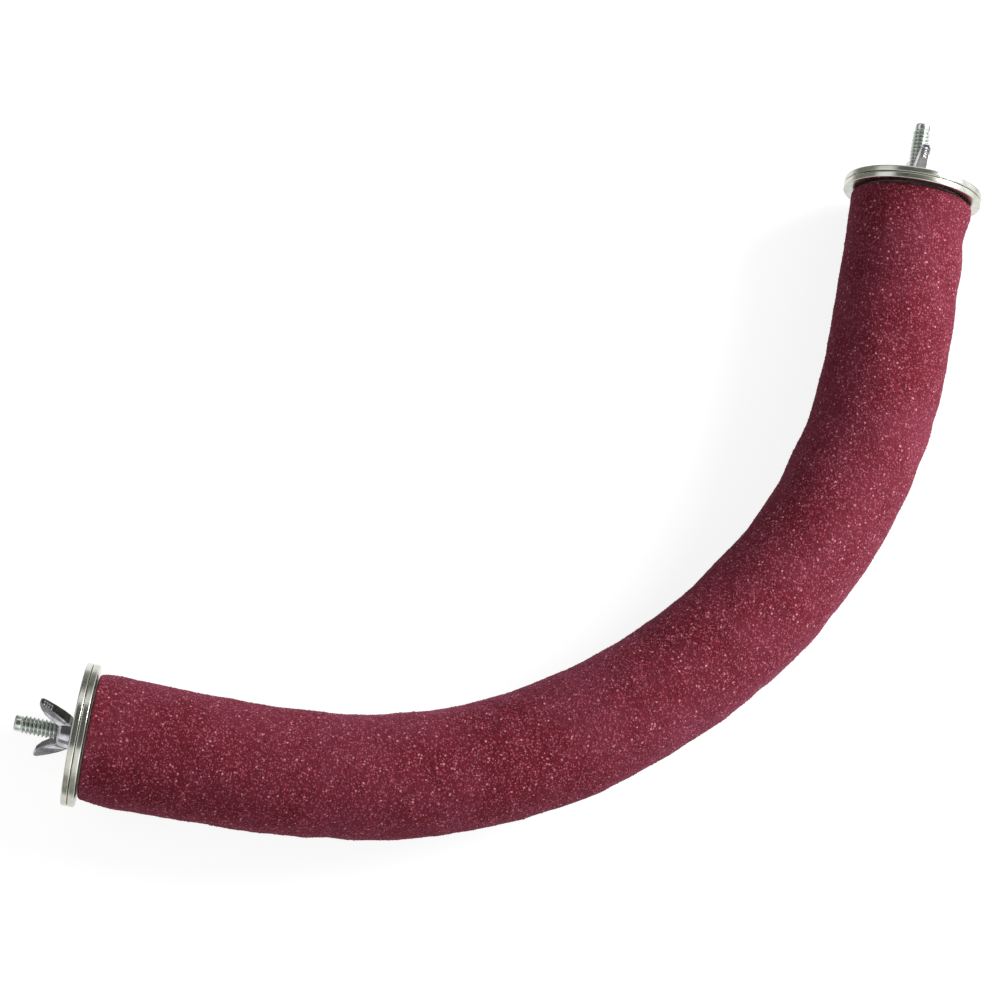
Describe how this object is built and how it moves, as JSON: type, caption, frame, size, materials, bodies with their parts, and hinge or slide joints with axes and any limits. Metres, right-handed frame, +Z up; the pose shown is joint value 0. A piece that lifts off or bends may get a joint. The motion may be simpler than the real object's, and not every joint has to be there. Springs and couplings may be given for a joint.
{
  "type": "bird perch",
  "caption": "Curved grit perch for a cage: a bent pipe with a rough coating, clamped to the cage bars at each end by a stud, washers and a wing nut.",
  "frame": {"origin": "middle of the object's box, at the height of the surface that the washers' rims stand on", "axes": "+Z up as the perch lies flat, the left stud points along -X and the right stud along +Y"},
  "size_m": [0.2319, 0.2284, 0.038],
  "materials": {
    "grit": "rough wine-red grit with pale crystals",
    "pipe": "plain pipe",
    "plug": "bare wood",
    "stud": "zinc plated",
    "washer": "bright zinc plate",
    "wing_nut": "cast and zinc plated"
  },
  "bodies": {
    "perch": {"grit_coating": "grit", "core_pipe": "pipe", "left_end_plug": "plug", "right_end_plug": "plug", "left_stud": "stud", "right_stud": "stud"},
    "left_seat_washer": {"left_inner_washer": "washer"},
    "left_clamp_washer": {"left_outer_washer": "washer"},
    "left_nut": {"left_wing_nut": "wing_nut"},
    "right_seat_washer": {"right_inner_washer": "washer"},
    "right_clamp_washer": {"right_outer_washer": "washer"},
    "right_nut": {"right_wing_nut": "wing_nut"}
  },
  "joints": [
    {"name": "left_seat_spin", "type": "hinge", "parent": "perch", "child": "left_seat_washer", "pos_m": [-0.0975, -0.0952, 0.019], "axis": [-1, 0, 0], "continuous": true},
    {"name": "left_clamp_slide", "type": "slide", "parent": "perch", "child": "left_clamp_washer", "axis": [-1, 0, 0], "range_m": [0, 0.01217]},
    {"name": "left_nut_turn", "type": "hinge", "parent": "left_clamp_washer", "child": "left_nut", "pos_m": [-0.10025, -0.0952, 0.019], "axis": [-1, 0, 0], "range_deg": [0, 4140]},
    {"name": "right_seat_spin", "type": "hinge", "parent": "perch", "child": "right_seat_washer", "pos_m": [0.09695, 0.09325, 0.019], "axis": [0, 1, 0], "continuous": true},
    {"name": "right_clamp_slide", "type": "slide", "parent": "perch", "child": "right_clamp_washer", "axis": [0, 1, 0], "range_m": [0, 0.01482]},
    {"name": "right_nut_turn", "type": "hinge", "parent": "right_clamp_washer", "child": "right_nut", "pos_m": [0.09695, 0.096, 0.019], "axis": [0, 1, 0], "range_deg": [0, 5040]}
  ],
  "couplings": [
    {"joint": "left_nut_turn", "follows": "left_clamp_slide", "rad_per_m": 5937.1},
    {"joint": "right_nut_turn", "follows": "right_clamp_slide", "rad_per_m": 5937.1}
  ]
}
